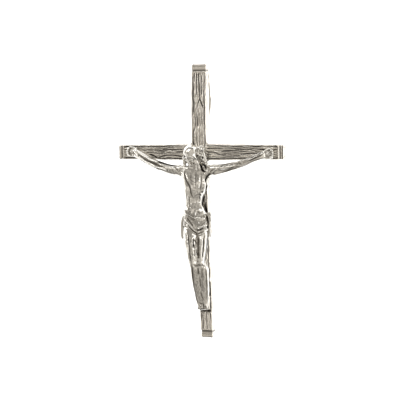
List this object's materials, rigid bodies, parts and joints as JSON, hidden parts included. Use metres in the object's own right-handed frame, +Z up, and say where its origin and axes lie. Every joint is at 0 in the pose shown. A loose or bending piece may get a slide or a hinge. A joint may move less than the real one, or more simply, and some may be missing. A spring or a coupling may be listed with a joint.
{
  "type": "crucifix pendant",
  "caption": "Cast metal crucifix pendant: slender cross with a wood grain and plain caps, a figure nailed to it and a soldered bail behind the upper stem.",
  "frame": {"origin": "on the surface that the pendant lies on, under the middle of its box", "axes": "+X towards the viewer's right along the crossbeam, +Y towards the top of the cross, +Z up out of the figure's front"},
  "size_m": [0.0292, 0.0458, 0.0071],
  "materials": {
    "cross_metal": "polished cast white metal, darker in the grooves of its wood grain",
    "corpus_metal": "polished cast white metal",
    "nail_metal": "polished"
  },
  "bodies": {
    "root": {"cross": "cross_metal", "corpus": "corpus_metal", "nail_left_hand": "nail_metal", "nail_right_hand": "nail_metal", "foot_pin": "nail_metal"}
  },
  "joints": []
}
